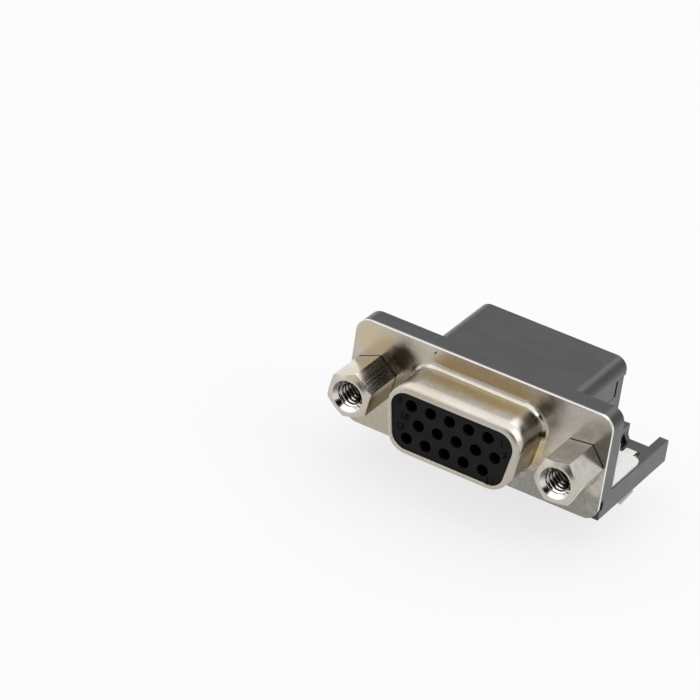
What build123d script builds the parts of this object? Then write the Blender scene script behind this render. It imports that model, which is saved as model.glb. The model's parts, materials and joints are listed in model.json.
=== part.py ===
from build123d import *
import os
from math import atan2, cos, degrees, radians, sin, sqrt, tan

# Right-angle D-sub receptacle, 15 contacts in three rows, for through-hole boards. All sizes in millimetres.
# X runs to the right as seen by the plug, Y from the plug towards the rear, Z up from the board.
# The origin lies on the board's top face, under the front of the metal flange, on the centre plane.

# Flange with its two screw axes
screw_spread = 24.99
flange_end = 2.91
flange_corner = 1.6
shell_sheet = 0.5
axis_height = 6.25
screw_hole = 3.2

# D-shaped collar drawn from the flange
collar_width = 15.25
collar_height = 7.8
collar_corner = 2.4
collar_slope = 10.0
collar_reach = 5.8
collar_wall = 0.56
nose_radius = 0.5
root_radius = 0.7
root_steps = 3

# Front insulator
fit_gap = 0.06
face_recess = 0.2
insulator_lip = 0.35
lip_thickness = 1.2
contact_bore = 1.36

# Contact pattern
contact_pitch = 2.29
row_pitch = 1.98
row_stagger = 1.145
pattern_offset = -0.38
contacts_per_row = 5

# Contacts
fork_width = 1.1
fork_height = 0.7
fork_length = 4.6
fork_setback = 1.3
beam_width = 0.24
beam_pinch = 0.14
beam_flare = 0.7
shank_width = 0.9
shank_rear = 1.9
tail_width = 0.64
tail_sheet = 0.18
tail_corner = 0.16
tail_fold = 0.7
tail_front_row = 9.7
tail_row_pitch = 2.54
tail_reach = 3.5

# Rear hood
hood_flange_back = 2.7
hood_to_screw = 3.395
hood_side_step = 0.2
hood_rise = 3.83
hood_setback = 0.1
hood_edge = 1.4
lip_depth = 1.88
hood_wall = 1.2
ceiling_sheet = 1.23
front_groove_inset = 0.1
front_groove_depth = 1.2
front_groove_length = 0.4
side_notch_depth = 0.4
side_notch_rear = 1.1
side_notch_bottom = 1.1
side_notch_top = 2.2

# Board arms of the hood
arm_height = 2.75
arm_setback = 0.2
arm_wall = 1.0
arm_floor = 0.9
rib_offset = 0.25
rib_width = 1.35
shelf_underside = 1.6
shelf_rear = 7.2
lock_hole_width = 3.5
arm_bridge = 1.8
gusset_width = 0.55
gusset_height = 1.1
gusset_setback = 1.2
gusset_length = 0.8
arm_corner = 0.25

# Tail organiser
organiser_front = 3.2
organiser_seam = 0.3
organiser_rear_margin = 1.62
organiser_floor = 1.5
organiser_plate = 0.9
organiser_cheek = 1.4
cheek_width = 1.3
cheek_gap = 0.4
organiser_top_gap = 0.08
foot_height = 2.8
foot_taper = 0.8
foot_gap = 0.1
tail_hole = 0.92
tongue_bottom = 4.3
tongue_top = 5.9
tongue_length = 3.0
tongue_gap = 0.08

# Jack screws
hex_flats = 4.76
jack_reach = 5.6
jack_chamfer = 0.75
jack_chamfer_length = 0.4
thread_bore = 2.8
thread_depth = 4.9
mouth_flare = 3.6
flare_depth = 0.5
hex_rear_edge = 0.1
stem_diameter = 2.8
stem_reach = 1.2
stem_chamfer = 0.3
left_hex_turn = 22.0
right_hex_turn = 7.5

# Board locks
lock_sheet = 0.4
lock_side_gap = 0.11
lock_rise = 2.5
lock_clip = 0.5
lock_bend = 0.25
lock_plate_rear = 9.8
lock_plate_corner = 1.0
boss_radius = 1.7
boss_height = 0.6
boss_bore_gap = 0.05
prong_inner = 0.445
prong_outer = 1.7
prong_rear = 11.3
prong_neck = 1.5
prong_neck_height = -0.9
barb_reach = 1.95
barb_height = -1.95
tip_place = 0.93
tip_height = -3.9
tip_width = 0.3

# Sizes that follow from the ones above
screw_place = screw_spread / 2
flange_width = screw_spread + 2 * flange_end
flange_height = 2 * axis_height
hood_top = axis_height + hood_rise
ceiling_height = hood_top - ceiling_sheet
lip_underside = hood_top - lip_depth
lock_top = axis_height + lock_rise
organiser_rear = tail_front_row + 2 * tail_row_pitch + organiser_rear_margin
cheek_front = organiser_rear - organiser_cheek
tongue_front = cheek_front - tongue_length
hood_rear = organiser_rear - hood_setback
side_wall_rear = cheek_front - cheek_gap
arm_rear = organiser_rear - arm_setback
hood_half_width = screw_place - hood_to_screw
hood_side = hood_half_width - hood_side_step
rib_inner = hood_half_width + rib_offset
lock_width = 2 * (flange_end - lock_side_gap)
insulator_face = face_recess - collar_reach
pocket_outer = flange_width / 2 - arm_wall
pocket_inner = rib_inner + rib_width
organiser_half_width = rib_inner - organiser_seam
exact = 0.001


def along_depth(outline, front, back):
    """Solid of an X-Z outline between two depths."""
    plane = Plane(origin=(0, back, 0), x_dir=(1, 0, 0), z_dir=(0, -1, 0))
    return extrude(plane * outline, back - front)


def along_height(outline, bottom, top):
    """Solid of an X-Y outline between two heights."""
    return extrude(Pos(0, 0, bottom) * outline, top - bottom)


def along_width(outline, left, right):
    """Solid of a Y-Z outline between two places across the width."""
    plane = Plane(origin=(left, 0, 0), x_dir=(0, 1, 0), z_dir=(1, 0, 0))
    return extrude(plane * outline, right - left)


def block(x_span, y_span, z_span):
    """Box between three pairs of limits."""
    spans = (x_span, y_span, z_span)
    centre = [(low + high) / 2 for low, high in spans]
    return Pos(*centre) * Box(*[high - low for low, high in spans])


def polygon(*points):
    """Closed outline through the points."""
    return make_face(Polyline(*points, close=True))


def on_both_sides(solid):
    """The solid with its mirror image on the other side of the centre plane."""
    return solid + mirror(solid, about=Plane.YZ)


def d_outline(mid_width, height, corner):
    """D outline about the connector's axis: a trapezium, wide side up, with rounded corners."""
    lean = height / 2 * tan(radians(collar_slope))
    low, high = axis_height - height / 2, axis_height + height / 2
    narrow, wide = mid_width / 2 - lean, mid_width / 2 + lean
    outline = polygon((-narrow, low), (narrow, low), (wide, high), (-wide, high))
    return fillet(outline.vertices(), corner)


def grown_d(margin):
    """The collar's outer D made larger, or smaller for a negative margin, by the same amount all round."""
    size = 2 * margin
    return d_outline(collar_width + size, collar_height + size, collar_corner + margin)


def screw_places(radius):
    """A circle on each of the two screw axes."""
    return [Pos(side * screw_place, axis_height) * Circle(radius) for side in (-1, 1)]


def contact_places():
    """Number, side place, height and tail depth of each contact, the first at the plug's right."""
    places = []
    for row in range(3):
        stagger = row_stagger if row == 1 else 0
        height = axis_height + (1 - row) * row_pitch
        depth = tail_front_row + (2 - row) * tail_row_pitch
        for column in range(contacts_per_row):
            from_middle = (contacts_per_row - 1) / 2 - column
            place = pattern_offset + stagger + from_middle * contact_pitch
            number = row * contacts_per_row + column + 1
            places.append((number, place, height, depth))
    return places


def collar_root():
    """Rings round the foot of the collar that follow a quarter circle from the collar out to the flange."""
    root = None
    for step in range(root_steps):
        near, far = [radians(90 * count / root_steps) for count in (step, step + 1)]
        front = root_radius * (sin(near) - 1)
        length = root_radius * (sin(far) - sin(near))
        margin = root_radius * (1 - cos(near))
        growth = root_radius * (cos(near) - cos(far))
        plane = Plane(origin=(0, front, 0), x_dir=(-1, 0, 0), z_dir=(0, 1, 0))
        ring = extrude(plane * grown_d(margin), length, taper=-degrees(atan2(growth, length)))
        root = ring if root is None else root + ring
    return root


def make_front_shell():
    """Drawn steel plate with its collar, one sheet throughout."""
    plate = along_depth(
        Pos(0, flange_height / 2) * RectangleRounded(flange_width, flange_height, flange_corner),
        0,
        shell_sheet,
    )
    collar = along_depth(grown_d(0), -collar_reach, 0)
    rim = collar.faces().sort_by(Axis.Y)[0].edges()
    collar = fillet(rim, nose_radius)
    shell = plate + collar + collar_root()
    shell -= along_depth(grown_d(-collar_wall), -collar_reach, shell_sheet)
    for hole in screw_places(screw_hole / 2):
        shell -= along_depth(hole, 0, shell_sheet)
    return shell


def make_socket_insulator():
    """Front moulding: the nose inside the collar, a lip behind the flange, and one bore per contact."""
    back = hood_flange_back
    body = along_depth(grown_d(-collar_wall - fit_gap), insulator_face, back)
    body += along_depth(grown_d(insulator_lip), shell_sheet, shell_sheet + lip_thickness)
    for number, place, height, depth in contact_places():
        body -= along_depth(Pos(place, height) * Circle(contact_bore / 2), insulator_face, back)
    return body


def make_contact(place, height, depth):
    """Stamped contact: a fork of two spring beams, a flat shank, and a U-section tail folded down."""
    front = insulator_face + fork_setback
    back = front + fork_length
    half = fork_width / 2
    beam = polygon(
        (half - beam_width - beam_pinch / 2, front), (half - beam_pinch / 2, front),
        (half - beam_pinch, front + beam_flare), (half, back - beam_flare), (half, back),
        (0, back), (0, back - beam_width), (half - beam_width, back - beam_flare),
        (half - beam_width - beam_pinch, front + beam_flare),
    )
    level = height - fork_height / 2
    fork = on_both_sides(along_height(beam, level, level + fork_height))
    contact = Pos(place, 0, 0) * fork
    floor = height - tail_width / 2
    shank = (place - shank_width / 2, place + shank_width / 2)
    contact += block(shank, (back, shank_rear), (floor, floor + tail_sheet))
    start = Plane(origin=(place, shank_rear, height), x_dir=(-1, 0, 0), z_dir=(0, 1, 0))
    channel = Rectangle(tail_width, tail_width)
    channel = chamfer([corner for corner in channel.vertices() if corner.Y < 0], tail_corner)
    channel -= Pos(0, tail_sheet) * Rectangle(tail_width - 2 * tail_sheet, tail_width)
    route = Polyline(
        (place, shank_rear, height), (place, depth - tail_fold, height), (place, depth, height - tail_fold),
        (place, depth, -tail_reach),
    )
    return contact + sweep(start * channel, path=route, transition=Transition.RIGHT)


def lock_hole():
    """Plan of the slot in an arm for the board lock: square in front, round behind."""
    straight_end = arm_rear - arm_bridge - lock_hole_width / 2
    slot = Rectangle(lock_hole_width, straight_end - shelf_rear)
    slot = Pos(screw_place, (shelf_rear + straight_end) / 2) * slot
    return slot + Pos(screw_place, straight_end) * Circle(lock_hole_width / 2)


def make_arm():
    """Right board arm: outer wall, inner rib, rear floor with the lock's slot, shelf in front."""
    outer = flange_width / 2
    arm = block((rib_inner, outer), (shell_sheet, arm_rear), (0, arm_height))
    arm -= block((pocket_inner, pocket_outer), (shelf_rear, arm_rear), (arm_floor, arm_height))
    arm -= block((pocket_inner, pocket_outer), (shell_sheet, shelf_rear), (0, shelf_underside))
    arm -= along_height(lock_hole(), 0, arm_height)
    corner = arm.edges().filter_by(Axis.X).filter_by_position(Axis.Y, arm_rear - exact, arm_rear + exact)
    corner = [edge for edge in corner if edge.center().X > pocket_outer and edge.center().Z > arm_floor]
    arm = chamfer(corner, arm_corner)
    gusset = polygon(
        (pocket_inner, arm_floor), (pocket_inner + gusset_width, arm_floor),
        (pocket_inner, arm_floor + gusset_height),
    )
    gusset_front = arm_rear - gusset_setback
    return arm + along_depth(gusset, gusset_front, gusset_front + gusset_length)


def make_hood_body():
    """Hood behind the flange: a rounded top with a lip over the rear, and two side walls set in a little."""
    top = Rectangle(2 * hood_half_width, hood_top - lip_underside)
    top = Pos(0, (lip_underside + hood_top) / 2) * top
    rounded = fillet(top.vertices().sort_by(Axis.Y)[-2:], hood_edge)
    body = along_depth(rounded, hood_flange_back, hood_rear)
    along = (hood_flange_back, side_wall_rear)
    body += block((-hood_side, hood_side), along, (shelf_underside, lip_underside))
    inside = hood_side - hood_wall
    body -= block((-inside, inside), along, (0, ceiling_height))
    plate_front = organiser_rear - organiser_plate
    body -= block((-inside, inside), (side_wall_rear, plate_front), (0, ceiling_height))
    web = block((inside, pocket_inner), along, (shelf_underside, arm_height))
    return body + on_both_sides(web)


def make_rear_hood():
    """One moulding: flange plate, hood and both arms, with its window for the front insulator."""
    plate = Pos(0, flange_height / 2) * Rectangle(flange_width, flange_height)
    rounded = fillet(plate.vertices().sort_by(Axis.Y)[-2:], flange_corner)
    flange = along_depth(rounded, shell_sheet, hood_flange_back)
    recess = block((pocket_inner, pocket_outer), (shell_sheet, hood_flange_back), (0, shelf_underside))
    notch = block(
        (flange_width / 2 - side_notch_depth, flange_width / 2),
        (shell_sheet, side_notch_rear),
        (side_notch_bottom, side_notch_top),
    )
    flange -= on_both_sides(recess) + on_both_sides(notch)
    groove_end = hood_half_width - front_groove_inset
    flange -= block(
        (-groove_end, groove_end),
        (shell_sheet, shell_sheet + front_groove_length),
        (0, front_groove_depth),
    )
    hood = flange + make_hood_body() + on_both_sides(make_arm() - notch)
    hood -= along_depth(grown_d(insulator_lip + fit_gap), shell_sheet, shell_sheet + lip_thickness)
    hood -= along_depth(grown_d(-collar_wall), shell_sheet, hood_flange_back)
    for hole in screw_places(screw_hole / 2):
        hood -= along_depth(hole, shell_sheet, hood_flange_back)
    slot = block(
        (hood_side - hood_wall, hood_side),
        (tongue_front - tongue_gap, side_wall_rear),
        (tongue_bottom - tongue_gap, tongue_top + tongue_gap),
    )
    return hood - on_both_sides(slot)


def make_tail_organiser():
    """Block that closes the hood from behind and below: floor with tail holes, rear plate, side cheeks."""
    top = lip_underside - organiser_top_gap
    foot = rib_inner - foot_gap
    rear_outline = polygon(
        (-foot, 0), (foot, 0), (foot, foot_height), (hood_side, foot_height + foot_taper), (hood_side, top),
        (-hood_side, top), (-hood_side, foot_height + foot_taper), (-foot, foot_height),
    )
    body = along_depth(rear_outline, organiser_rear - organiser_plate, organiser_rear)
    cheeks = along_depth(rear_outline, cheek_front, organiser_rear)
    cheek_inner = hood_side - cheek_width
    body += cheeks - block((-cheek_inner, cheek_inner), (cheek_front, organiser_rear), (0, top))
    across = (-organiser_half_width, organiser_half_width)
    body += block(across, (organiser_front, organiser_rear), (0, organiser_floor))
    tongue_sides = (hood_side - hood_wall, hood_side)
    tongue = block(tongue_sides, (tongue_front, cheek_front), (tongue_bottom, tongue_top))
    body += on_both_sides(tongue)
    for number, place, height, depth in contact_places():
        body -= along_height(Pos(place, depth) * Rectangle(tail_hole, tail_hole), 0, organiser_floor)
    return body


def make_jack_screw(side, turn):
    """Hex jack screw: turned hex with a flared, bored mouth, and a stem through the flange behind."""
    axis = Pos(side * screw_place, axis_height)
    hexagon = RegularPolygon(hex_flats / 2, 6, major_radius=False)
    body = along_depth(axis * Rot(0, 0, turn) * hexagon, -jack_reach, 0)
    body = chamfer(body.faces().sort_by(Axis.Y)[-1].edges(), hex_rear_edge)
    turned = along_depth(axis * Circle(hex_flats / sqrt(3)), -jack_reach, 0)
    front_edge = turned.edges().sort_by(Axis.Y)[0]
    body &= chamfer(front_edge, jack_chamfer_length, jack_chamfer)
    stem_end = hood_flange_back + lock_sheet + stem_reach
    stem = along_depth(axis * Circle(stem_diameter / 2), 0, stem_end)
    body += chamfer(stem.edges().sort_by(Axis.Y)[-1], stem_chamfer)
    body -= along_depth(axis * Circle(thread_bore / 2), -jack_reach, thread_depth - jack_reach)
    mouth = Plane(origin=(side * screw_place, -jack_reach, axis_height), x_dir=(1, 0, 0), z_dir=(0, 1, 0))
    flare = mouth * Pos(0, 0, flare_depth / 2) * Cone(mouth_flare / 2, thread_bore / 2, flare_depth)
    return body - flare


def make_board_lock():
    """Right board lock: upright leg with a threaded boss, a plate on the arm and two barbed prongs."""
    front, under = hood_flange_back, arm_height
    inner_front, over = front + lock_sheet, under + lock_sheet
    prong_front = prong_rear - lock_sheet
    strip = polygon(
        (front, lock_top), (front, under), (prong_front, under), (prong_front, tip_height),
        (prong_rear, tip_height), (prong_rear, over), (inner_front, over), (inner_front, lock_top),
    )
    tight = [(prong_front, under), (inner_front, over)]
    wide = [(front, under), (prong_rear, over)]
    for points, radius in ((tight, lock_bend), (wide, lock_bend + lock_sheet)):
        bends = [corner for corner in strip.vertices() if (round(corner.X, 6), round(corner.Y, 6)) in points]
        strip = fillet(bends, radius)
    half = lock_width / 2
    leg = Pos(screw_place, (under + lock_top) / 2) * Rectangle(lock_width, lock_top - under)
    leg = chamfer(leg.vertices().sort_by(Axis.Y)[-2:], lock_clip)
    plan = Pos(screw_place, (front + lock_plate_rear) / 2) * Rectangle(lock_width, lock_plate_rear - front)
    plan = fillet(plan.vertices().sort_by(Axis.Y)[-2:], lock_plate_corner)
    sheet = along_width(strip, screw_place - half, screw_place + half)
    carrier = sheet & along_depth(leg, front, lock_plate_rear) & along_height(plan, under, lock_top)
    prong = polygon(
        (prong_inner, over), (prong_inner, barb_height), (tip_place - tip_width, tip_height),
        (tip_place, tip_height), (barb_reach, barb_height), (prong_neck, prong_neck_height),
        (prong_outer, under), (prong_outer, over),
    )
    pair = prong + mirror(prong, about=Plane.YZ)
    prongs = sheet & along_depth(Pos(screw_place, 0) * pair, lock_plate_rear, prong_rear)
    boss_axis = Pos(screw_place, axis_height)
    boss_end = inner_front + boss_height
    boss = along_depth(boss_axis * Circle(boss_radius), inner_front, boss_end)
    bore = along_depth(boss_axis * Circle(stem_diameter / 2 + boss_bore_gap), front, boss_end)
    return carrier + prongs + boss - bore


def save(node, solid):
    """Write one sub-part under its node's name."""
    export_step(solid, os.path.join("parts", node + ".step"))


os.makedirs("parts", exist_ok=True)
save("front_shell", make_front_shell())
save("socket_insulator", make_socket_insulator())
save("rear_hood", make_rear_hood())
save("tail_organiser", make_tail_organiser())
for number, place, height, depth in contact_places():
    save(f"contact_{number:02d}", make_contact(place, height, depth))
save("jack_screw_left", make_jack_screw(-1, left_hex_turn))
save("jack_screw_right", make_jack_screw(1, right_hex_turn))
board_lock = make_board_lock()
save("board_lock_right", board_lock)
save("board_lock_left", mirror(board_lock, about=Plane.YZ))
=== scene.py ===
import json

import bpy
import numpy as np
from mathutils import Matrix, Vector


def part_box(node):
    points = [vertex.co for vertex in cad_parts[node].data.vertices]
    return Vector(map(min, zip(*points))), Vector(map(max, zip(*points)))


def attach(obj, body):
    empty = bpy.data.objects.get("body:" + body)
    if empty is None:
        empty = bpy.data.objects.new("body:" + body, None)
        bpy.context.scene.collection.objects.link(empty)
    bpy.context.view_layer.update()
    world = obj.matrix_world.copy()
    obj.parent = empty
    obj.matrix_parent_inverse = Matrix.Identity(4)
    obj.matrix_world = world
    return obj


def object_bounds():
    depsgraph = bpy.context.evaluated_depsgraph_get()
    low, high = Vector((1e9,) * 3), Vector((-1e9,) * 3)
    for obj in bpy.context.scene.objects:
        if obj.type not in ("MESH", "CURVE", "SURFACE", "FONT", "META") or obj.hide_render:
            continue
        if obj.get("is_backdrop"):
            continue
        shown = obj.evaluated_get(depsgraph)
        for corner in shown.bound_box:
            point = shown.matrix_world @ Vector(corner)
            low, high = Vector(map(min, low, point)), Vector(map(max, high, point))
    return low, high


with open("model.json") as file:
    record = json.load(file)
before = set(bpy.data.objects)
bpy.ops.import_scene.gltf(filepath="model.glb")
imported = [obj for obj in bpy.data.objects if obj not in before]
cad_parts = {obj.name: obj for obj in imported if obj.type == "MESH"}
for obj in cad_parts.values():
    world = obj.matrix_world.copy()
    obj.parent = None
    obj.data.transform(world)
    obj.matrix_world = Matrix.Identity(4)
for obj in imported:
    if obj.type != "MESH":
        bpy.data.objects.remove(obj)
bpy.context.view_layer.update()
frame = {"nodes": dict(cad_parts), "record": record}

# Right-angle board connector, dressed for its picture. Lengths are in millimetres where nothing
# else is said. X runs along the flange, Y backwards from its front, and Z up from the board.
MM = 0.001
nodes = frame["nodes"]
mounts = {mount["name"]: mount for mount in frame["record"]["mounts"]}

# Foremost points of the plug collar, of the insulator's face and of the contacts' forks
NOSE, FACE, FORK = (
    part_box(name)[0][1] / MM for name in ("front_shell", "socket_insulator", "contact_01")
)

# Threaded hole of a jack screw: its radius, and where it starts and ends
THREAD = mounts["jack_screw_thread_left"]
BORE = THREAD["dims"]["r_mm"]
MOUTH = THREAD["pos_m"][1] / MM
BOTTOM = MOUTH + THREAD["dims"]["length_mm"]


# Helpers for meshes

def add_piece(name, points, faces, smooth=True):
    """Mesh object of points and faces, riding on the connector, with its place in its mesh."""
    mesh = bpy.data.meshes.new(name)
    mesh.from_pydata((np.asarray(points) * MM).tolist(), [], faces)
    mesh.update()
    mesh.polygons.foreach_set("use_smooth", np.full(len(mesh.polygons), smooth))
    piece = bpy.data.objects.new(name, mesh)
    bpy.context.scene.collection.objects.link(piece)
    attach(piece, "root")
    return piece


def skin_over(rings, first_tip, last_tip):
    """Closed skin: each ring of points joined to the next, and both ends drawn in to a tip."""
    count, around = rings.shape[:2]
    points = np.concatenate([rings.reshape(-1, 3), [first_tip, last_tip]])
    here = np.arange(count * around).reshape(count, around)
    beside = np.roll(here, -1, axis=1)
    sides = np.stack([here[:-1], beside[:-1], beside[1:], here[1:]], axis=-1).reshape(-1, 4)
    tips = count * around, count * around + 1
    first = np.stack([np.full(around, tips[0]), beside[0], here[0]], axis=-1)
    last = np.stack([np.full(around, tips[1]), here[-1], beside[-1]], axis=-1)
    return points, sides.tolist() + first.tolist() + last.tolist()


def turn_outwards(points, faces):
    """The faces, each turned round if together they enclose a negative volume."""
    fans = [
        points[[face[0], face[i], face[i + 1]]] for face in faces for i in range(1, len(face) - 1)
    ]
    a, b, c = np.array(fans).transpose(1, 0, 2)
    volume = np.einsum("ij,ij->i", a, np.cross(b, c)).sum()
    return faces if volume > 0 else [face[::-1] for face in faces]


# Helpers for materials

def add_node(tree, kind, inputs=None, **settings):
    """A node with its settings, each named or numbered input set to a value or a socket."""
    made = tree.nodes.new(kind)
    for name, value in settings.items():
        setattr(made, name, value)
    for name, value in (inputs or {}).items():
        if isinstance(value, bpy.types.NodeSocket):
            tree.links.new(value, made.inputs[name])
        else:
            made.inputs[name].default_value = value
    return made


def maths(tree, operation, first, *others):
    """Sum, product or the like of two or more numbers, taken from the left."""
    for other in others:
        step = add_node(tree, "ShaderNodeMath", {0: first, 1: other}, operation=operation)
        first = step.outputs[0]
    return first


def vector_maths(tree, operation, *vectors):
    """Outputs Vector and Value of a sum, a product or the like of vectors."""
    inputs = dict(enumerate(vectors))
    return add_node(tree, "ShaderNodeVectorMath", inputs, operation=operation).outputs


def length_of(tree, vector):
    """Length of a vector."""
    return vector_maths(tree, "LENGTH", vector)["Value"]


def parts_of(tree, vector):
    """The X, Y and Z parts of a vector."""
    return add_node(tree, "ShaderNodeSeparateXYZ", {0: vector}).outputs


def vector_of(tree, **parts):
    """Vector with the parts that are given by letter, and with nought for the others."""
    return add_node(tree, "ShaderNodeCombineXYZ", parts).outputs[0]


def place_on(tree, centre=(0, 0, 0), stretch=(1, 1, 1), turn=(0, 0, 0)):
    """Place on the object: from a centre, turned, and divided by the stretch on each axis."""
    place = add_node(tree, "ShaderNodeTexCoord").outputs["Object"]
    away = vector_maths(tree, "SUBTRACT", place, [c * MM for c in centre])[0]
    if any(turn):
        spin = {"Vector": away, "Rotation": turn}
        away = add_node(tree, "ShaderNodeVectorRotate", spin, rotation_type="EULER_XYZ").outputs[0]
    return vector_maths(tree, "MULTIPLY", away, [1 / (MM * s) for s in stretch])[0]


def cloud(tree, place, size, detail=3.0, warp=0.0):
    """Soft cloudy pattern from 0 to 1 whose patches are about as wide as the size."""
    inputs = {"Vector": place, "Scale": 1 / size, "Detail": detail, "Distortion": warp}
    return add_node(tree, "ShaderNodeTexNoise", inputs).outputs["Fac"]


def ramp(tree, value, low, high, start=0.0, end=1.0):
    """Smooth step of a value: start up to low, end from high."""
    inputs = {"Value": value, "From Min": low, "From Max": high, "To Min": start, "To Max": end}
    step = add_node(tree, "ShaderNodeMapRange", inputs, interpolation_type="SMOOTHSTEP")
    return step.outputs["Result"]


def tint(tree, amount, first, second):
    """Colour that goes from the first to the second with the amount."""
    factor, colour_a, colour_b, result = 0, 6, 7, 2
    inputs = {factor: amount, colour_a: first, colour_b: second}
    return add_node(tree, "ShaderNodeMix", inputs, data_type="RGBA").outputs[result]


def relief(tree, height, depth, under=None):
    """Normal of a surface with a height pattern of a certain depth, over the normal under it."""
    inputs = {"Height": height, "Distance": depth * MM, "Strength": 1.0}
    if under is not None:
        inputs["Normal"] = under
    return add_node(tree, "ShaderNodeBump", inputs).outputs["Normal"]


def eased_edges(tree, radius):
    """Normal that rounds sharp edges by a radius."""
    return add_node(tree, "ShaderNodeBevel", {"Radius": radius * MM}, samples=6).outputs["Normal"]


def new_finish(name):
    """Empty material with its node tree."""
    material = bpy.data.materials.new(name)
    material.use_nodes = True
    material.node_tree.nodes.clear()
    return material, material.node_tree


def close_finish(tree, **sockets):
    """Principled surface with its sockets set or wired, named with underscores for spaces."""
    inputs = {name.replace("_", " "): value for name, value in sockets.items()}
    surface = add_node(tree, "ShaderNodeBsdfPrincipled", inputs)
    add_node(tree, "ShaderNodeOutputMaterial", {"Surface": surface.outputs[0]})


def rgb(red, green, blue):
    """Opaque colour."""
    return (red, green, blue, 1.0)


# Finishes

# Stains of the drawn plate, and painted shade and painted reflections on it: centre, reach along
# each axis, strength and colour
STAINS_AND_SHADE = [
    ((-13.0, 0, 10.6), (3.6, 2, 2.8), 0.8, rgb(0.53, 0.43, 0.27)),  # gold, left upper corner
    ((0.0, 0, 11.4), (10.5, 0.2, 1.4), 0.9, rgb(0.47, 0.37, 0.21)),  # gold, above the collar
    ((-1.0, 0, 11.9), (4.0, 0.3, 0.7), 0.3, rgb(0.42, 0.36, 0.36)),  # violet, inside that gold
    ((0.6, -2.0, 10.2), (9.8, 1.4, 1.8), 0.85, rgb(0.53, 0.44, 0.285)),  # gold, collar's top
    ((7.3, -1.0, 4.9), (2.2, 3.2, 3.4), 0.9, rgb(0.47, 0.37, 0.17)),  # gold, collar's right side
    ((7.6, -2.2, 7.2), (2.3, 2.7, 1.6), 1.0, rgb(0.13, 0.065, 0.017)),  # brown painted dark reflection, above that
    ((7.9, 0, 11.2), (1.4, 0.5, 1.2), 0.5, rgb(0.16, 0.11, 0.06)),  # brown, right of the collar
    ((-9.4, 0, 9.5), (2.2, 0.5, 2.0), 0.9, rgb(0.12, 0.085, 0.03)),  # brown painted dark reflection of the left screw, beside it
    ((10.0, 0, 0.6), (11.5, 0.5, 5.6), 0.9, rgb(0.2, 0.195, 0.175)),  # grey painted reflection of the shaded table, right lower half
    ((7.5, 0, 0.4), (4.5, 0.5, 2.0), 0.8, rgb(0.24, 0.235, 0.22)),  # lighter grey painted reflection of the shaded table, inside it
    ((11.0, 0, 11.4), (5.0, 0.5, 3.0), 0.5, rgb(0.31, 0.29, 0.27)),  # grey, right upper corner
    ((-12.6, 0, 2.0), (6.0, 0.5, 4.5), 0.9, rgb(0.385, 0.35, 0.28)),  # dull, left lower corner
]


def satin_nickel():
    """Drawn plate: stained, mottled satin nickel with rolled streaks, a cut edge and a nick.

    It has painted shade and painted reflections, and the cut edge has a painted highlight in front
    and painted shade behind. The collar is glossier on its rounded foot and duller round its nose.
    """
    material, tree = new_finish("satin nickel")
    place = place_on(tree)
    along = parts_of(tree, place)["Y"]
    broad = cloud(tree, place, 5.5, 2)
    patch = cloud(tree, place_on(tree, centre=(40, 7, 3)), 1.4, 3)
    streaks = cloud(tree, place_on(tree, stretch=(0.12, 1, 2.2)), 1.0, 4)
    mottle = cloud(tree, place, 0.24, 3)
    grain = cloud(tree, place, 0.09, 3)

    # Nickel with its stains and its painted shade and reflections, whose outline is ragged
    cool, warm, pale = rgb(0.485, 0.45, 0.4), rgb(0.465, 0.415, 0.34), rgb(0.7, 0.67, 0.61)
    colour = tint(tree, ramp(tree, broad, 0.4, 0.64), cool, warm)
    ragged = ramp(tree, patch, 0.3, 0.7, -0.2, 0.2)
    for centre, reach, strength, stain_and_shade in STAINS_AND_SHADE:
        far = maths(tree, "ADD", length_of(tree, place_on(tree, centre, reach)), ragged)
        colour = tint(tree, ramp(tree, far, 0.3, 1.0, strength, 0.0), colour, stain_and_shade)
    streaked = maths(tree, "MULTIPLY", streaks, 0.16)
    mottled = ramp(tree, mottle, 0.35, 0.7, -0.08, 0.1)
    colour = tint(tree, maths(tree, "ADD", streaked, mottled), colour, pale)

    # Cut edge of the sheet, with a painted highlight in front and painted shade towards the hood,
    # and a nick near the top
    bright, dark, scar = rgb(0.85, 0.83, 0.8), rgb(0.22, 0.21, 0.2), rgb(0.03, 0.025, 0.02)
    cut = tint(tree, ramp(tree, along, 0.24, 0.4), bright, dark)
    colour = tint(tree, ramp(tree, along, 0.0, 0.06), colour, cut)
    nick = length_of(tree, place_on(tree, (-5.82, 0, 11.9), (0.09, 1, 0.26), (0, -0.55, 0)))
    colour = tint(tree, ramp(tree, nick, 0.6, 1.2, 1.0, 0.0), colour, scar)

    # Half the roughness between two depths at the collar's foot, and more at its nose
    foot_front = ramp(tree, along, -1.3, -0.8, 1.0, 0.5)
    foot_rear = ramp(tree, along, -0.35, 0.0, 0.0, 0.5)
    foot = maths(tree, "ADD", foot_front, foot_rear)
    nose = ramp(tree, along, NOSE + 0.35, NOSE + 0.8, 1.6, 1.0)
    uneven = ramp(tree, patch, 0.3, 0.75, 0.23, 0.28)
    roughness = maths(tree, "MULTIPLY", foot, nose, uneven)

    skin = relief(tree, grain, 0.0006, broad_nose(tree, along, eased_edges(tree, 0.07)))
    close_finish(
        tree, Base_Color=colour, Metallic=1.0, Roughness=roughness,
        Normal=relief(tree, streaks, 0.0006, skin),
    )
    return material


def broad_nose(tree, along, normal):
    """The normal, which starts to turn forwards a little behind the rounded nose of the collar."""
    forwards = vector_of(tree, Y=ramp(tree, along, NOSE, NOSE + 2.2, -0.6, 0.0))
    turned = vector_maths(tree, "ADD", normal, forwards)[0]
    return vector_maths(tree, "NORMALIZE", turned)[0]


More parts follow.
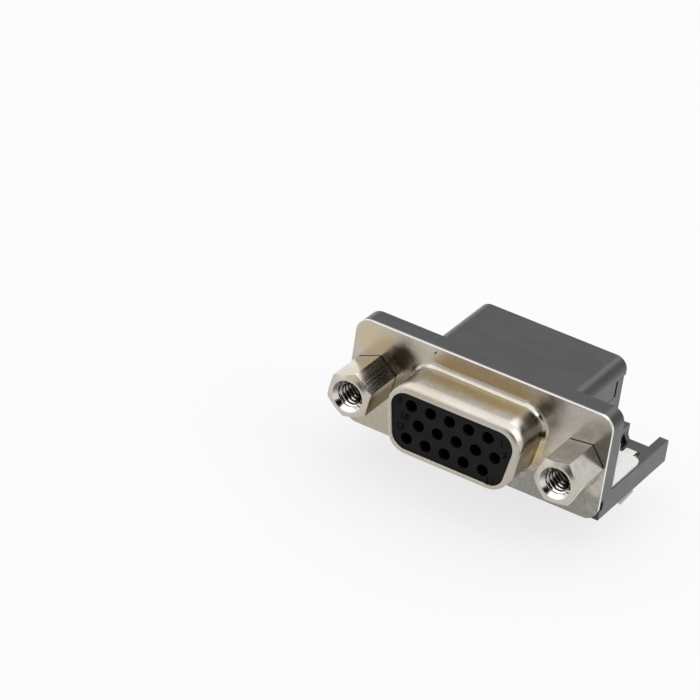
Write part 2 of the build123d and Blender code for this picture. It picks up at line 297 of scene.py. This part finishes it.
def turned_nickel(side, stain_and_shade, top_warmth):
    """Jack screw: bright nickel, with drawn lines along the hexagon and turned rings on its front.

    The lower faces have brown painted shade, and the uppermost are warmer. The front is duller;
    the thread's grooves, the upper side of the flared mouth and the seam at the flange have painted
    shade, and the lower side of the mouth has a painted highlight. The stem behind the flange is
    bare and rougher. The normal rises on the hexagon's forward half, where the real faces take more
    light from above, and leans outwards in the mouth.
    """
    material, tree = new_finish("turned nickel " + side)
    axis = [c / MM for c in mounts["jack_screw_thread_" + side]["pos_m"]]
    across, along, up = parts_of(tree, place_on(tree, axis))
    radius = length_of(tree, vector_of(tree, X=across, Z=up))

    # Rim of the mouth, front of the flange and start of the bare stem, with the zones they bound
    rim = 1.78, 1.84
    flange = -MOUTH
    stem = flange + 0.3, flange + 0.6
    outside = ramp(tree, radius, *rim)
    front = ramp(tree, along, -0.12, 0.0, 1.0, 0.0)
    seam = ramp(tree, along, flange - 0.16, flange - 0.1)
    groove = maths(
        tree, "MULTIPLY", ramp(tree, radius, BORE + 0.04, BORE + 0.1, 1.0, 0.0),
        ramp(tree, radius, BORE - 0.14, BORE - 0.04), ramp(tree, along, 0.2, 0.5),
    )

    # Marks of the tools
    lines = cloud(tree, place_on(tree, stretch=(0.15, 3.5, 0.15)), 1.0, 2)
    turning = {"W": radius, "Scale": 14.0, "Detail": 4.0}
    rings = add_node(tree, "ShaderNodeTexNoise", turning, noise_dimensions="1D").outputs["Fac"]
    marks = tint(tree, front, lines, rings)

    # Colours
    nickel, worn_nickel = rgb(0.66, 0.635, 0.59), rgb(0.57, 0.53, 0.46)
    brown, dull, warm = rgb(0.26, 0.2, 0.11), rgb(0.49, 0.455, 0.4), rgb(0.66, 0.57, 0.43)
    lit, shaded = rgb(0.85, 0.83, 0.79), rgb(0.17, 0.155, 0.13)
    groove_shade, dark = rgb(0.15, 0.14, 0.125), rgb(0.05, 0.04, 0.03)
    worn = cloud(tree, place_on(tree), 1.3, 3)
    bare = tint(tree, ramp(tree, worn, 0.4, 0.7), nickel, worn_nickel)
    # Brown painted shade on the lower faces
    below, behind = ramp(tree, up, 0.0, 1.1, stain_and_shade, 0.0), ramp(tree, along, -0.5, 0.1)
    colour = tint(tree, maths(tree, "MULTIPLY", below, behind), bare, brown)
    colour = tint(tree, maths(tree, "MULTIPLY", front, 0.7), colour, dull)
    # Warmer tint on the uppermost faces
    colour = tint(tree, ramp(tree, up, 1.7, 2.3, 0.0, top_warmth), colour, warm)
    # Painted highlight on the lower side of the flared mouth and painted shade on its upper side
    colour = tint(tree, outside, tint(tree, ramp(tree, up, -1.0, 0.4), lit, shaded), colour)
    # Painted shade in the thread's grooves
    colour = tint(tree, groove, colour, groove_shade)
    # Painted shade along the seam at the flange
    colour = tint(tree, seam, colour, dark)
    colour = tint(tree, ramp(tree, along, *stem), colour, bare)

    # Roughness, and the normal's rise and lean
    roughness = maths(
        tree, "MULTIPLY", ramp(tree, marks, 0.3, 0.7, 0.17, 0.24),
        ramp(tree, outside, 0.0, 1.0, 0.5, 1.0), ramp(tree, along, *stem, 1.0, 3.5),
    )
    rise = maths(
        tree, "MULTIPLY", ramp(tree, along, 0.4, 2.6, 0.34, 0.0),
        ramp(tree, along, -0.14, -0.02), outside,
    )
    lean = ramp(tree, radius, *rim, -0.09, 0.0)
    bent = vector_maths(tree, "ADD", eased_edges(tree, 0.05), vector_of(tree, Y=lean, Z=rise))[0]
    close_finish(
        tree, Base_Color=colour, Metallic=1.0, Roughness=roughness,
        Normal=relief(tree, marks, 0.0004, bent),
    )
    return material


def matt_tin():
    """Board lock: matt tin over sheet, with faint grain and smears, duller below the board."""
    material, tree = new_finish("matt tin")
    place = place_on(tree)
    up = parts_of(tree, place)["Z"]
    grain = cloud(tree, place, 0.07, 3)
    smear = cloud(tree, place_on(tree, stretch=(1, 2.4, 1)), 1.1, 4)
    clean, worn, dull = rgb(0.71, 0.7, 0.68), rgb(0.62, 0.61, 0.58), rgb(0.42, 0.4, 0.35)
    colour = tint(tree, ramp(tree, smear, 0.4, 0.7), clean, worn)
    colour = tint(tree, ramp(tree, up, -0.3, 0.3, 0.8, 0.0), colour, dull)
    close_finish(
        tree, Base_Color=colour, Metallic=1.0, Roughness=ramp(tree, smear, 0.3, 0.7, 0.3, 0.42),
        Normal=relief(tree, grain, 0.003, eased_edges(tree, 0.05)),
    )
    return material


def tinned_contact():
    """Contact: bright tin, painted shade on the fork's ends, yellow bare metal at the tail's tip.
    """
    material, tree = new_finish("tinned contact")
    place = place_on(tree)
    parts = parts_of(tree, place)
    grain = cloud(tree, place_on(tree, stretch=(1, 6, 6)), 0.05, 2)
    smear = cloud(tree, place, 0.5, 3)
    clean, worn = rgb(0.78, 0.77, 0.74), rgb(0.62, 0.6, 0.55)
    yellow, dark = rgb(0.72, 0.53, 0.24), rgb(0.05, 0.045, 0.04)
    colour = tint(tree, ramp(tree, smear, 0.35, 0.7), clean, worn)
    ragged = maths(tree, "ADD", parts["Z"], maths(tree, "MULTIPLY", smear, 0.3))
    colour = tint(tree, ramp(tree, ragged, -3.25, -3.05, 1.0, 0.0), colour, yellow)
    # Painted shade on the forks' front ends inside the bores
    depth = maths(tree, "SUBTRACT", parts["Y"], FORK)
    colour = tint(tree, ramp(tree, depth, 0.2, 1.4, 0.9, 0.0), colour, dark)
    close_finish(
        tree, Base_Color=colour, Metallic=1.0, Roughness=ramp(tree, smear, 0.3, 0.7, 0.2, 0.34),
        Normal=relief(tree, grain, 0.002),
    )
    return material


def black_moulding():
    """Hood and organiser: black plastic with eroded grain, faint flow clouds and pale dust."""
    material, tree = new_finish("black moulding")
    place = place_on(tree)
    grain = cloud(tree, place, 0.13, 3)
    flow = cloud(tree, place_on(tree, stretch=(2.2, 1, 1)), 3.5, 4, warp=0.8)
    dust = ramp(tree, cloud(tree, place, 0.16, 1), 0.76, 0.8, 0.0, 0.25)
    deep, faded, grey = rgb(0.006, 0.0062, 0.007), rgb(0.01, 0.0102, 0.011), rgb(0.12, 0.12, 0.12)
    colour = tint(tree, ramp(tree, flow, 0.35, 0.7), deep, faded)
    colour = tint(tree, dust, colour, grey)
    close_finish(
        tree, Base_Color=colour, Roughness=ramp(tree, flow, 0.3, 0.7, 0.22, 0.3), IOR=1.56,
        Normal=relief(tree, grain, 0.016, eased_edges(tree, 0.12)),
    )
    return material


def socket_black():
    """Insulator and its numerals: deeper black and duller than the hood, with a fine grain."""
    material, tree = new_finish("socket black")
    place = place_on(tree)
    grain = cloud(tree, place, 0.08, 3)
    flow = cloud(tree, place, 1.5, 3)
    deep, faded = rgb(0.003, 0.003, 0.003), rgb(0.006, 0.006, 0.006)
    close_finish(
        tree, Base_Color=tint(tree, ramp(tree, flow, 0.35, 0.7), deep, faded),
        Roughness=ramp(tree, flow, 0.3, 0.7, 0.42, 0.52), Specular_IOR_Level=0.13,
        Normal=relief(tree, grain, 0.003, eased_edges(tree, 0.05)),
    )
    return material


# New pieces

PITCH = 0.635

# Threads in the jack screws' holes and on their stems: front, back, and radius at root and crest
JACK_THREAD = MOUTH + 0.1, BOTTOM - 0.1, BORE, BORE - 0.3
STEM_THREAD = 3.25, 4.15, 1.4, 1.44

# Contact numbers on the insulator's face, each with its X and Z
NUMERALS = [
    ("5", -6.41, 8.32), ("10", -5.65, 6.65), ("15", -5.94, 5.33),
    ("1", 5.79, 8.1), ("6", 6.43, 6.9), ("11", 5.2, 3.3),
]


def thread_ridge(name, side, front, back, root, crest):
    """Ridge of a screw thread.

    A closed profile is carried along a helix about the screw's axis: the angle is a full turn for
    each pitch of depth. The profile's height is one minus the size of the cosine of its own angle,
    which gives two flanks that meet at the crest, and its underside dips a little into the root.
    Over the first and last half turn the profile shrinks smoothly to a tip that lies in the root.
    """
    steps_a_turn, steps_round = 56, 12
    half_width, sunk, underside, least = 0.46 * PITCH, 0.06, -0.12, 0.002
    turns = (back - front) / PITCH
    t = np.linspace(0, turns, int(turns * steps_a_turn))[1:-1, None]
    u = np.linspace(0, 2 * np.pi, steps_round, endpoint=False)[None, :]
    ease = np.clip(np.minimum(t, turns - t) / 0.5, 0, 1)
    ease = ease * ease * (3 - 2 * ease) + least
    height = (1 - np.abs(np.cos(u))) * np.where(np.sin(u) > 0, 1.0, underside)
    radius = root + (crest - root) * (height * ease - sunk)
    depth = front + PITCH * t + half_width * ease * np.cos(u)
    angle = 2 * np.pi * t + 0 * u
    x0, z0 = (mounts["jack_screw_thread_" + side]["pos_m"][i] / MM for i in (0, 2))
    rings = np.stack([x0 + radius * np.sin(angle), depth, z0 + radius * np.cos(angle)], axis=-1)
    points, faces = skin_over(rings, rings[0].mean(axis=0), rings[-1].mean(axis=0))
    return add_piece(name, points, turn_outwards(points, faces))


def text_mesh(text, size, thickness):
    """Points and faces of a text that lies flat, centred on its origin, extruded both ways."""
    curve = bpy.data.curves.new("numeral", "FONT")
    curve.body = text
    curve.size = size
    curve.align_x = "CENTER"
    curve.align_y = "CENTER"
    curve.extrude = thickness
    curve.resolution_u = 4
    holder = bpy.data.objects.new("numeral", curve)
    bpy.context.scene.collection.objects.link(holder)
    bpy.context.view_layer.update()
    seen = holder.evaluated_get(bpy.context.evaluated_depsgraph_get())
    mesh = bpy.data.meshes.new_from_object(seen)
    points = np.empty(len(mesh.vertices) * 3)
    mesh.vertices.foreach_get("co", points)
    faces = [list(polygon.vertices) for polygon in mesh.polygons]
    bpy.data.objects.remove(holder)
    bpy.data.curves.remove(curve)
    bpy.data.meshes.remove(mesh)
    return points.reshape(-1, 3), faces


def moulded_numerals(name):
    """Raised contact numbers: each text stood upright and set on the insulator's face."""
    height, height_by_size, thickness = 0.8, 0.72, 0.14
    points, faces = np.empty((0, 3)), []
    for text, x, z in NUMERALS:
        flat, corners = text_mesh(text, height / height_by_size, thickness)
        faces += [[len(points) + corner for corner in face] for face in corners]
        upright = np.stack([x + flat[:, 0], FACE - flat[:, 2], z + flat[:, 1]], axis=-1)
        points = np.concatenate([points, upright])
    return add_piece(name, points, turn_outwards(points, faces), smooth=False)


threads = {}
for side in ("left", "right"):
    inside = thread_ridge("jack_thread_" + side, side, *JACK_THREAD)
    behind = thread_ridge("stem_thread_" + side, side, *STEM_THREAD)
    threads[side] = inside, behind
numerals = moulded_numerals("contact_numerals")


# Rounding of the carried-over solids

def rounding_group():
    """Node group that shades faces smooth, and keeps an edge sharp if it turns beyond the limit."""
    group = bpy.data.node_groups.new("smooth by angle", "GeometryNodeTree")
    for name, way, kind in (
        ("Geometry", "INPUT", "NodeSocketGeometry"),
        ("Limit", "INPUT", "NodeSocketFloat"),
        ("Geometry", "OUTPUT", "NodeSocketGeometry"),
    ):
        group.interface.new_socket(name=name, in_out=way, socket_type=kind)
    mesh, limit = group.nodes.new("NodeGroupInput").outputs[:2]
    turn = group.nodes.new("GeometryNodeInputMeshEdgeAngle").outputs[0]
    small = add_node(group, "FunctionNodeCompare", {0: turn, 1: limit}, operation="LESS_EQUAL")
    faces = add_node(group, "GeometryNodeSetShadeSmooth", {0: mesh}, domain="FACE").outputs[0]
    chosen = {0: faces, 2: small.outputs[0]}
    edges = add_node(group, "GeometryNodeSetShadeSmooth", chosen, domain="EDGE")
    add_node(group, "NodeGroupOutput", {0: edges.outputs[0]})
    return group


ROUNDING = rounding_group()
LIMIT_INPUT = ROUNDING.interface.items_tree["Limit"].identifier

# Degrees by which an edge may turn and still be shaded smooth
USUAL_LIMIT = 32
LIMITS = {"front_shell": 40, "jack_screw_left": 20, "jack_screw_right": 20}


def shade_round(piece, degrees):
    """Merged corners, smooth shading up to the angle, and normals that keep the flat faces flat."""
    piece.modifiers.new("merge", "WELD").merge_threshold = 0.001 * MM
    smooth = piece.modifiers.new("smooth", "NODES")
    smooth.node_group = ROUNDING
    smooth[LIMIT_INPUT] = float(np.radians(degrees))
    piece.modifiers.new("weights", "WEIGHTED_NORMAL").keep_sharp = True


def give_finish(piece, material):
    """The material in every slot of a piece."""
    if not piece.data.materials:
        piece.data.materials.append(material)
    for slot in piece.material_slots:
        slot.material = material


# Finishes on the pieces

nickel, tin, contact_tin = satin_nickel(), matt_tin(), tinned_contact()
black, socket = black_moulding(), socket_black()
screws = {
    "left": turned_nickel("left", stain_and_shade=1.0, top_warmth=0.75),
    "right": turned_nickel("right", stain_and_shade=0.15, top_warmth=0.0),
}

give_finish(nodes["front_shell"], nickel)
give_finish(nodes["socket_insulator"], socket)
give_finish(nodes["rear_hood"], black)
give_finish(nodes["tail_organiser"], black)
give_finish(numerals, socket)
for side, screw in screws.items():
    give_finish(nodes["jack_screw_" + side], screw)
    give_finish(nodes["board_lock_" + side], tin)
    for ridge in threads[side]:
        give_finish(ridge, screw)
for name, node in nodes.items():
    if name.startswith("contact_"):
        give_finish(node, contact_tin)
    shade_round(node, LIMITS.get(name, USUAL_LIMIT))


# Studio

def photo_camera():
    """Camera of the photograph: place, axes and lens fitted to the photo, clipped in metres."""
    right = Vector((0.8521, 0.5077, 0.1272))
    up = Vector((-0.3516, 0.3753, 0.8576))
    view = Vector((-0.3877, 0.7755, -0.4983))
    place = Vector((146.86, -325.33, 217.21))
    data = bpy.data.cameras.new("photo camera")
    data.sensor_width = 36
    data.lens = 203.4
    data.clip_start = 0.01
    data.clip_end = 20
    camera = bpy.data.objects.new("photo camera", data)
    turn = Matrix((right, up, -view)).transposed().to_4x4()
    camera.matrix_world = Matrix.Translation(place * MM) @ turn
    bpy.context.scene.collection.objects.link(camera)
    bpy.context.scene.camera = camera


def soft_box(name, place, size, power):
    """Square soft light that looks at the connector, with its place and size in metres."""
    data = bpy.data.lights.new(name, "AREA")
    data.shape = "SQUARE"
    data.size = size
    data.energy = power
    light = bpy.data.objects.new(name, data)
    place = Vector(place)
    turn = (-place).to_track_quat("-Z", "Y").to_matrix().to_4x4()
    light.matrix_world = Matrix.Translation(place) @ turn
    bpy.context.scene.collection.objects.link(light)


def pale_floor(height):
    """White table at a height in metres, mostly aglow, so that the shadows on it stay faint."""
    reach, glow_share = 3.0, 0.84
    mesh = bpy.data.meshes.new("floor")
    corners = [(-reach, -reach), (reach, -reach), (reach, reach), (-reach, reach)]
    mesh.from_pydata([(x, y, height) for x, y in corners], [], [(0, 1, 2, 3)])
    floor = bpy.data.objects.new("floor", mesh)
    bpy.context.scene.collection.objects.link(floor)
    material, tree = new_finish("white table")
    lit = add_node(tree, "ShaderNodeBsdfDiffuse", {"Color": rgb(0.86, 0.86, 0.86)})
    glow = add_node(
        tree, "ShaderNodeEmission", {"Color": rgb(0.92, 0.92, 0.92), "Strength": 1.0}
    )
    shares = {0: glow_share, 1: lit.outputs[0], 2: glow.outputs[0]}
    mix = add_node(tree, "ShaderNodeMixShader", shares)
    add_node(tree, "ShaderNodeOutputMaterial", {"Surface": mix.outputs[0]})
    give_finish(floor, material)
    floor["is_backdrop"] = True


def studio_world():
    """Light room that is brightest overhead.

    It has a bright pane high behind, a lighter wall on the left, and a dark round about where the
    photographer stood.
    """
    pane_centre, dark_centre = (0.05, 0.781, 0.622), (0.388, -0.776, 0.498)
    world = bpy.data.worlds.new("studio")
    world.use_nodes = True
    tree = world.node_tree
    tree.nodes.clear()
    towards = add_node(tree, "ShaderNodeTexCoord").outputs["Generated"]
    parts = parts_of(tree, towards)
    near_pane = vector_maths(tree, "DOT_PRODUCT", towards, pane_centre)["Value"]
    near_dark = vector_maths(tree, "DOT_PRODUCT", towards, dark_centre)["Value"]
    ceiling = ramp(tree, parts["Z"], 0.5, 0.66, 0.8, 1.5)
    zenith = ramp(tree, parts["Z"], 0.76, 0.92, 0.0, 0.2)
    pane = ramp(tree, near_pane, 0.94, 0.985)
    wall = ramp(tree, parts["X"], -0.64, -0.5, 0.38, 0.0)
    light = maths(tree, "ADD", ceiling, zenith, pane, wall)
    room = maths(tree, "MULTIPLY", light, ramp(tree, near_dark, 0.84, 0.945, 1.0, 0.0))
    shade = add_node(
        tree, "ShaderNodeBackground", {"Color": rgb(0.99, 0.99, 1.0), "Strength": room}
    )
    add_node(tree, "ShaderNodeOutputWorld", {"Surface": shade.outputs[0]})
    bpy.context.scene.world = world


photo_camera()
pale_floor(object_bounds()[0][2])
studio_world()
soft_box("window side", place=(0.5, 0.05, 0.4), size=0.6, power=1.4)
bpy.context.scene.view_settings.view_transform = "Standard"
